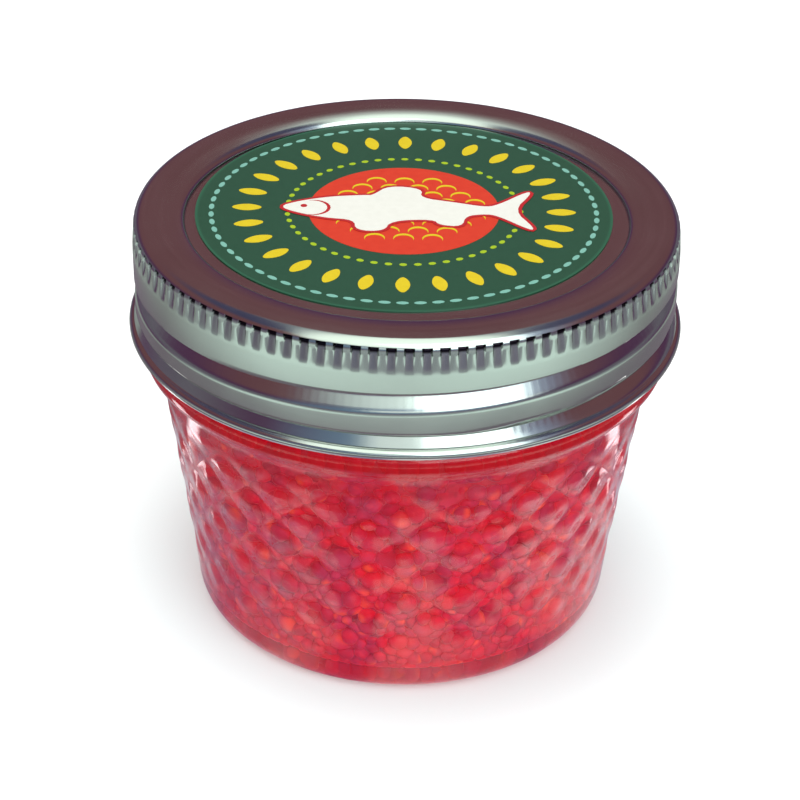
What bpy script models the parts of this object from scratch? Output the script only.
"""A shut glass jar of salmon roe: quilted jelly glass, two-piece screw lid, round lid label and the roe inside.

Lengths are in metres. The origin is the middle of the circle the jar stands on, and +Z runs up through the lid.
The label reads upright for someone who stands on the -Y side.
"""

import math
import random

import bmesh
import bpy
from mathutils import Vector

MM = 0.001
GAP = 0.3 * MM  # left between pieces that touch in the real thing
TOUCH = 0.05 * MM  # closer than this counts as the same height or radius

# Driving dimensions of the glass
BODY_TOP_RADIUS = 33.6 * MM
BODY_TOP_HEIGHT = 37.0 * MM
BODY_FOOT_RADIUS = 29.2 * MM
BODY_FOOT_HEIGHT = 3.8 * MM
BEARING_OUTER_RADIUS = 26.8 * MM
BEARING_INNER_RADIUS = 21.5 * MM
PUSH_UP_RADIUS = 19.0 * MM
PUSH_UP_HEIGHT = 1.0 * MM
COLLAR_RADIUS = 35.9 * MM
COLLAR_FOOT_HEIGHT = 38.8 * MM
NECK_RADIUS = 33.6 * MM
RIM_HEIGHT = 56.8 * MM
WALL = 2.8 * MM
FLOOR_HEIGHT = 4.6 * MM
MOUTH_RADIUS = 30.15 * MM
MOUTH_FOOT_HEIGHT = 40.0 * MM

# Quilting: raised diamonds between crossing grooves
QUILTS_AROUND = 24
QUILT_FOOT_HEIGHT = 4.6 * MM
QUILT_TOP_HEIGHT = 35.0 * MM
QUILT_ROWS = 4
QUILT_DEPTH = 0.55 * MM

# Driving dimensions of the lid
LID_TOP_HEIGHT = 58.6 * MM
BAND_HEIGHT = 16.3 * MM
BAND_RADIUS = 36.5 * MM
BAND_SHEET = 0.4 * MM
OPENING_RADIUS = 29.4 * MM
KNURLS = 105
KNURL_DEPTH = 0.4 * MM
KNURL_TOP_HEIGHT = 57.2 * MM
KNURL_FOOT_HEIGHT = 52.0 * MM
SKIRT_RADIUS = 35.9 * MM
CURL_RADIUS = 37.4 * MM
CURL_THICKNESS = 1.0 * MM  # half the height of the rolled edge at the band's foot
THREAD_PITCH = 5.08 * MM
THREAD_RISE = 0.7 * MM
THREAD_WIDTH = 7.0 * MM
THREAD_FRONT_HEIGHT = 48.2 * MM  # middle of the ridge where it passes -Y
THREAD_START = math.radians(130)
THREAD_END = math.radians(400)
THREAD_FADE = math.radians(25)
DISC_RADIUS = 33.9 * MM
PANEL_RADIUS = 29.9 * MM
PANEL_TOP_HEIGHT = 57.32 * MM
PANEL_SHEET = 0.32 * MM
LABEL_RADIUS = 28.15 * MM
LABEL_SHEET = 0.12 * MM
LABEL_CENTRE = (-0.4 * MM, 1.0 * MM)  # stuck on by hand, a little off the middle

# Driving dimensions of the roe
EGG_PITCH = 4.5 * MM  # from egg to egg
EGG_CREASE = 1.1 * MM  # depth of the pit where three eggs meet
EGG_SCATTER = 0.12  # share of the pitch
ROE_TOP_HEIGHT = 45.0 * MM
ROE_CORNER = 4.0 * MM

BAND_FOOT_HEIGHT = LID_TOP_HEIGHT - BAND_HEIGHT
WALL_FOOT_HEIGHT = BAND_FOOT_HEIGHT + 2.3 * MM  # where the band's wall meets its foot curl
TURN_STEPS = 2 * QUILTS_AROUND


def clear_scene():
    for obj in list(bpy.data.objects):
        bpy.data.objects.remove(obj, do_unlink=True)


def material(name, colour, roughness, metallic=0.0, transmission=0.0):
    made = bpy.data.materials.new(name)
    made.use_nodes = True
    shader = made.node_tree.nodes["Principled BSDF"]
    shader.inputs["Base Color"].default_value = (*colour, 1.0)
    shader.inputs["Roughness"].default_value = roughness
    shader.inputs["Metallic"].default_value = metallic
    shader.inputs["Transmission Weight"].default_value = transmission
    return made


def piece(name, bm, finish, smooth_below=40.0):
    """Turns a bmesh into the named object."""
    mesh = bpy.data.meshes.new(name)
    bm.to_mesh(mesh)
    bm.free()
    mesh.materials.append(finish)
    mesh.shade_smooth()
    mesh.set_sharp_from_angle(angle=math.radians(smooth_below))
    obj = bpy.data.objects.new(name, mesh)
    bpy.context.scene.collection.objects.link(obj)
    return obj


def along(start, end, share):
    return start + (end - start) * share


def turned(profile, steps):
    """Spins (radius, height) points round the Z axis. A closed profile makes a ring, and one whose ends
    are on the axis makes a solid of revolution."""
    bm = bmesh.new()
    corners = [bm.verts.new((radius, 0, height)) for radius, height in profile]
    on_axis = profile[0][0] == 0 and profile[-1][0] == 0
    pairs = list(zip(corners, corners[1:]))
    if not on_axis:
        pairs.append((corners[-1], corners[0]))
    edges = [bm.edges.new(pair) for pair in pairs]
    bmesh.ops.spin(
        bm,
        geom=corners + edges,
        cent=(0, 0, 0),
        axis=(0, 0, 1),
        angle=math.tau,
        steps=steps,
        use_merge=True,
    )
    bmesh.ops.remove_doubles(bm, verts=bm.verts[:], dist=0.01 * MM)
    bmesh.ops.recalc_face_normals(bm, faces=bm.faces[:])
    return bm


def radius_of(vert):
    return math.hypot(vert.co.x, vert.co.y)


def push_out(vert, distance):
    """Moves a point straight away from the Z axis."""
    scale = (radius_of(vert) + distance) / radius_of(vert)
    vert.co.x *= scale
    vert.co.y *= scale


def arc(centre, radius, start, end, steps):
    """Points of a round corner, as (radius, height) pairs, angles in degrees from +radius towards +Z."""
    angles = [math.radians(along(start, end, step / steps)) for step in range(steps + 1)]
    return [(centre[0] + radius * math.cos(a), centre[1] + radius * math.sin(a)) for a in angles]


def body_radius(height):
    """Outside of the glass over the quilts' crests."""
    share = (height - BODY_FOOT_HEIGHT) / (BODY_TOP_HEIGHT - BODY_FOOT_HEIGHT)
    return along(BODY_FOOT_RADIUS, BODY_TOP_RADIUS, share)


def inside_radius(height):
    """Inside of the glass: it follows the body, then runs straight up the neck."""
    if height >= MOUTH_FOOT_HEIGHT:
        return MOUTH_RADIUS
    top = body_radius(BODY_TOP_HEIGHT) - WALL
    if height > BODY_TOP_HEIGHT:
        share = (height - BODY_TOP_HEIGHT) / (MOUTH_FOOT_HEIGHT - BODY_TOP_HEIGHT)
        return along(top, MOUTH_RADIUS, share)
    return body_radius(height) - WALL


def quilt_heights():
    steps = 2 * QUILT_ROWS
    return [along(QUILT_FOOT_HEIGHT, QUILT_TOP_HEIGHT, step / steps) for step in range(steps + 1)]


def jar_profile():
    heel_height = BODY_FOOT_HEIGHT
    heel_width = BODY_FOOT_RADIUS - BEARING_OUTER_RADIUS
    heel = [
        (
            BEARING_OUTER_RADIUS + heel_width * math.sin(math.radians(angle)),
            heel_height * (1 - math.cos(math.radians(angle))),
        )
        for angle in (0, 35, 65, 90)
    ]
    underside = [(0, PUSH_UP_HEIGHT), (PUSH_UP_RADIUS, PUSH_UP_HEIGHT), (BEARING_INNER_RADIUS, 0)]
    quilts = [(body_radius(height), height) for height in quilt_heights()]
    collar_middle = COLLAR_FOOT_HEIGHT + 0.7 * MM
    shoulder = [
        (BODY_TOP_RADIUS + 0.2 * MM, BODY_TOP_HEIGHT + 0.6 * MM),
        (COLLAR_RADIUS - 0.5 * MM, COLLAR_FOOT_HEIGHT),
        (COLLAR_RADIUS, collar_middle),
        (COLLAR_RADIUS, BAND_FOOT_HEIGHT - GAP - 0.6 * MM),
        (COLLAR_RADIUS - 0.8 * MM, BAND_FOOT_HEIGHT - GAP),
        (NECK_RADIUS, BAND_FOOT_HEIGHT + 0.8 * MM),
    ]
    rim = [
        (NECK_RADIUS, RIM_HEIGHT - 1.0 * MM),
        (NECK_RADIUS - 1.0 * MM, RIM_HEIGHT),
        (MOUTH_RADIUS + 0.7 * MM, RIM_HEIGHT),
        (MOUTH_RADIUS, RIM_HEIGHT - 0.7 * MM),
    ]
    foot_inside = FLOOR_HEIGHT + ROE_CORNER
    inside = [(MOUTH_RADIUS, MOUTH_FOOT_HEIGHT), (inside_radius(BODY_TOP_HEIGHT), BODY_TOP_HEIGHT)]
    corner_centre = (inside_radius(foot_inside) - ROE_CORNER, foot_inside)
    inside += arc(corner_centre, ROE_CORNER, 0, -90, 3)
    return underside + heel + quilts + shoulder + rim + inside + [(0, FLOOR_HEIGHT)]


def make_glass_jar(finish):
    bm = turned(jar_profile(), TURN_STEPS)
    outside = {}
    for vert in bm.verts:
        for row, height in enumerate(quilt_heights()):
            on_row = abs(vert.co.z - height) < TOUCH
            if on_row and radius_of(vert) > body_radius(height) - WALL / 2:
                column = round(math.atan2(vert.co.y, vert.co.x) / math.tau * TURN_STEPS)
                outside[vert] = (row, column % TURN_STEPS)
    crossings = [vert for vert, (row, column) in outside.items() if (row + column) % 2 == 0]
    last_row = 2 * QUILT_ROWS
    for vert in crossings:
        row, _ = outside[vert]
        if 0 < row < last_row:
            push_out(vert, -QUILT_DEPTH)
    bmesh.ops.connect_verts(bm, verts=crossings)
    return piece("glass_jar", bm, finish, smooth_below=5.0)


def thread_rise(angle, height):
    """How far the rolled thread pushes the band's wall out at an angle from +X and a height."""
    front = math.radians(270)
    if angle < THREAD_END - math.tau:
        angle += math.tau
    centre = THREAD_FRONT_HEIGHT + THREAD_PITCH * (angle - front) / math.tau
    away = abs(height - centre) / (THREAD_WIDTH / 2)
    if away >= 1 or not THREAD_START <= angle <= THREAD_END:
        return 0.0
    fade = min(1.0, (angle - THREAD_START) / THREAD_FADE, (THREAD_END - angle) / THREAD_FADE)
    return THREAD_RISE * fade * math.cos(away * math.pi / 2) ** 2


def band_profile():
    corner = 1.3 * MM
    slope_width = 3.0 * MM  # the flange dips towards the opening over this width
    slope_drop = 0.2 * MM
    lip_drop = 0.55 * MM
    wall_top = KNURL_FOOT_HEIGHT - 0.8 * MM
    wall_rows = 5
    inner_radius = SKIRT_RADIUS - BAND_SHEET
    underside = LID_TOP_HEIGHT - BAND_SHEET
    top = [
        (OPENING_RADIUS, LID_TOP_HEIGHT - lip_drop),
        (OPENING_RADIUS + lip_drop / 2, LID_TOP_HEIGHT - slope_drop),
        (OPENING_RADIUS + slope_width, LID_TOP_HEIGHT),
        (BAND_RADIUS - corner, LID_TOP_HEIGHT),
    ]
    wall = [(BAND_RADIUS, KNURL_TOP_HEIGHT), (SKIRT_RADIUS + 0.3 * MM, KNURL_FOOT_HEIGHT)]
    for row in range(wall_rows + 1):
        wall.append((SKIRT_RADIUS, along(wall_top, WALL_FOOT_HEIGHT, row / wall_rows)))
    curl_centre = (CURL_RADIUS - CURL_THICKNESS, BAND_FOOT_HEIGHT + CURL_THICKNESS)
    curl = arc(curl_centre, CURL_THICKNESS, 40, -140, 4)
    inside = [
        (inner_radius, BAND_FOOT_HEIGHT + 1.5 * CURL_THICKNESS),
        (inner_radius, KNURL_TOP_HEIGHT),
        (BAND_RADIUS - corner - BAND_SHEET, underside),
        (OPENING_RADIUS + slope_width / 2, underside),
    ]
    return top + wall + curl + inside


def roll_thread(bm):
    """Pushes the wall between the knurls and the foot curl out into the thread's ridge."""
    for vert in bm.verts:
        on_wall = radius_of(vert) > SKIRT_RADIUS - BAND_SHEET / 2
        if on_wall and WALL_FOOT_HEIGHT - TOUCH < vert.co.z < KNURL_FOOT_HEIGHT - TOUCH:
            angle = math.atan2(vert.co.y, vert.co.x) % math.tau
            push_out(vert, thread_rise(angle, vert.co.z))


def cut_knurls(bm):
    """Splits the knurl's top and bottom circles between the ribs and sinks the new points at the top."""
    circles = [
        edge
        for edge in bm.edges
        if all(radius_of(vert) > SKIRT_RADIUS + TOUCH for vert in edge.verts)
        and any(
            all(abs(vert.co.z - height) < TOUCH for vert in edge.verts)
            for height in (KNURL_TOP_HEIGHT, KNURL_FOOT_HEIGHT)
        )
    ]
    cut = bmesh.ops.subdivide_edges(bm, edges=circles, cuts=1)
    for vert in cut["geom_inner"]:
        if isinstance(vert, bmesh.types.BMVert) and abs(vert.co.z - KNURL_TOP_HEIGHT) < TOUCH:
            push_out(vert, -KNURL_DEPTH)


def make_screw_band(finish):
    bm = turned(band_profile(), KNURLS)
    roll_thread(bm)
    cut_knurls(bm)
    return piece("screw_band", bm, finish)


def make_lid_disc(finish):
    rim_top = LID_TOP_HEIGHT - BAND_SHEET - GAP
    rim_foot = RIM_HEIGHT + GAP
    panel_foot = PANEL_TOP_HEIGHT - PANEL_SHEET
    profile = [
        (0, PANEL_TOP_HEIGHT),
        (PANEL_RADIUS, PANEL_TOP_HEIGHT),
        (PANEL_RADIUS + 0.7 * MM, rim_top),
        (DISC_RADIUS - 0.3 * MM, rim_top),
        (DISC_RADIUS, rim_top - 0.3 * MM),
        (DISC_RADIUS, rim_foot),
        (PANEL_RADIUS + 0.5 * MM, rim_foot),
        (PANEL_RADIUS, panel_foot),
        (0, panel_foot),
    ]
    return piece("lid_disc", turned(profile, TURN_STEPS), finish)


def make_lid_label(finish):
    bm = bmesh.new()
    bmesh.ops.create_cone(
        bm,
        cap_ends=True,
        segments=TURN_STEPS,
        radius1=LABEL_RADIUS,
        radius2=LABEL_RADIUS,
        depth=LABEL_SHEET,
    )
    label = piece("lid_label", bm, finish)
    label.location = (*LABEL_CENTRE, PANEL_TOP_HEIGHT + GAP + LABEL_SHEET / 2)
    return label


def roe_outline():
    """Points a quarter millimetre apart from the middle of the heap's top, down its side, to the middle
    of its foot."""
    foot = FLOOR_HEIGHT + GAP
    top_radius = inside_radius(ROE_TOP_HEIGHT) - GAP
    foot_corner = foot + ROE_CORNER
    foot_radius = inside_radius(foot_corner) - GAP
    top_corner = 1.5 * MM
    corners = [(0, ROE_TOP_HEIGHT)]
    corners += arc((top_radius - top_corner, ROE_TOP_HEIGHT - top_corner), top_corner, 90, 0, 4)
    corners += [
        (inside_radius(height) - GAP, height) for height in (MOUTH_FOOT_HEIGHT, BODY_TOP_HEIGHT)
    ]
    corners += arc((foot_radius - ROE_CORNER, foot_corner), ROE_CORNER, 0, -90, 8)
    corners.append((0, foot))
    outline = []
    for start, end in zip(corners, corners[1:]):
        length = math.dist(start, end)
        steps = max(1, round(length / (0.25 * MM)))
        outline += [
            (along(start[0], end[0], step / steps), along(start[1], end[1], step / steps))
            for step in range(steps)
        ]
    return outline + [corners[-1]]


def egg_sites():
    """(place on a unit sphere, place on the heap) of each egg that shows, ring below ring."""
    draw = random.Random(7)
    outline = roe_outline()
    lengths = [0.0]
    for start, end in zip(outline, outline[1:]):
        lengths.append(lengths[-1] + math.dist(start, end))
    rings = round(lengths[-1] / (EGG_PITCH * math.sin(math.radians(60))))
    sites = []
    for ring in range(rings + 1):
        wanted = lengths[-1] * ring / rings
        radius, height = outline[min(range(len(lengths)), key=lambda i: abs(lengths[i] - wanted))]
        around = max(1, round(math.tau * radius / EGG_PITCH))
        tilt = math.pi * ring / rings
        for egg in range(around):
            shift = draw.uniform(-EGG_SCATTER, EGG_SCATTER)
            angle = math.tau * (egg + 0.5 * (ring % 2) + shift) / around
            inset = draw.uniform(0, EGG_SCATTER) * EGG_PITCH
            direction = Vector((math.cos(angle), math.sin(angle), 0))
            on_sphere = direction * math.sin(tilt) + Vector((0, 0, math.cos(tilt)))
            on_heap = direction * max(0.0, radius - inset * math.sin(tilt))
            on_heap.z = height - inset * math.cos(tilt)
            sites.append((on_sphere, on_heap))
    return sites


def make_salmon_roe(finish):
    """The heap: a hull over the eggs that show, with a pit wherever three of them meet."""
    bm = bmesh.new()
    home = {bm.verts.new(on_sphere): on_heap for on_sphere, on_heap in egg_sites()}
    bmesh.ops.convex_hull(bm, input=bm.verts[:])
    for vert, place in home.items():
        vert.co = place
    between_eggs = bm.edges[:]
    bmesh.ops.poke(bm, faces=bm.faces[:], offset=-EGG_CREASE)
    bmesh.ops.rotate_edges(bm, edges=between_eggs)
    bmesh.ops.recalc_face_normals(bm, faces=bm.faces[:])
    return piece("salmon_roe", bm, finish, smooth_below=5.0)


def main():
    clear_scene()
    glass = material("clear_glass", (0.93, 0.97, 0.96), 0.03, transmission=1.0)
    tin = material("tinplate", (0.72, 0.71, 0.72), 0.18, metallic=1.0)
    paper = material("green_label", (0.02, 0.1, 0.06), 0.35)
    roe = material("salmon_roe", (0.75, 0.04, 0.02), 0.15)
    make_glass_jar(glass)
    make_salmon_roe(roe)
    make_lid_disc(tin)
    make_lid_label(paper)
    make_screw_band(tin)


main()
